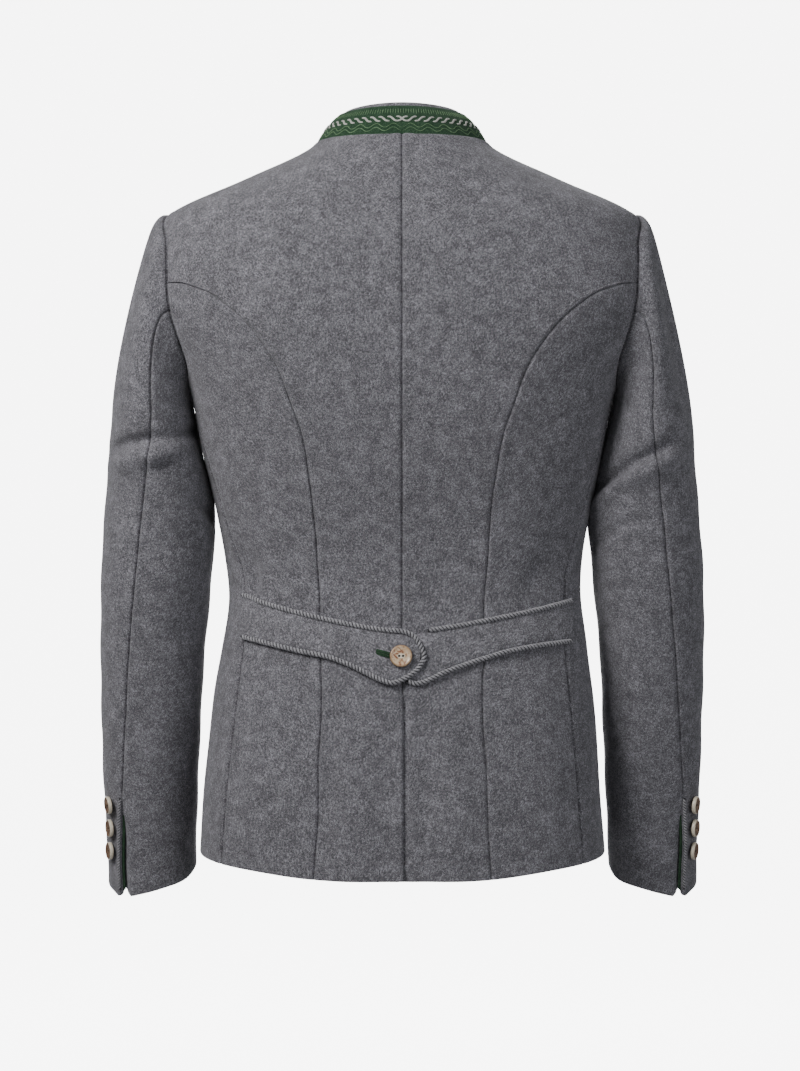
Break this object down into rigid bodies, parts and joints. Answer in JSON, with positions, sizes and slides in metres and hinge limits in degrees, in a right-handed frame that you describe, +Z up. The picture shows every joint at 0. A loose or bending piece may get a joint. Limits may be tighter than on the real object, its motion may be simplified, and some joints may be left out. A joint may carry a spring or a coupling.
{
  "type": "tyrolean loden jacket",
  "caption": "Men's grey loden jacket, worn and hollow: green embroidered stand collar, curved back seams, corded half belt with a horn button, vented cuffs and back.",
  "frame": {"origin": "the middle of the neck's base, level with the neck ends of the shoulder seams, where the wearer's neck stands", "axes": "+Z up, +X to the wearer's left, -Y out of the jacket's front"},
  "size_m": [0.595, 0.2609, 0.7714],
  "materials": {
    "loden": "felted wool",
    "green_felt": "felt",
    "cord": "twisted wool cord",
    "horn": "polished staghorn"
  },
  "bodies": {
    "root": {"back_left": "loden", "back_right": "loden", "belt_button": "horn", "belt_buttonhole": "green_felt", "belt_left": "loden", "belt_left_cord": "cord", "belt_right": "loden", "belt_right_cord_bottom": "cord", "belt_right_cord_top": "cord", "collar_inner": "loden", "collar_outer": "green_felt", "cuff_button_left_1": "horn", "cuff_button_left_2": "horn", "cuff_button_left_3": "horn", "cuff_button_right_1": "horn", "cuff_button_right_2": "horn", "cuff_button_right_3": "horn", "cuff_cord_left": "cord", "cuff_cord_right": "cord", "cuff_facing_left": "green_felt", "cuff_facing_right": "green_felt", "front_button_1": "horn", "front_button_2": "horn", "front_button_3": "horn", "front_button_4": "horn", "front_button_5": "horn", "front_left": "loden", "front_right": "loden", "side_back_left": "loden", "side_back_right": "loden", "top_sleeve_left": "loden", "top_sleeve_right": "loden", "under_sleeve_left": "loden", "under_sleeve_right": "loden"}
  },
  "joints": []
}
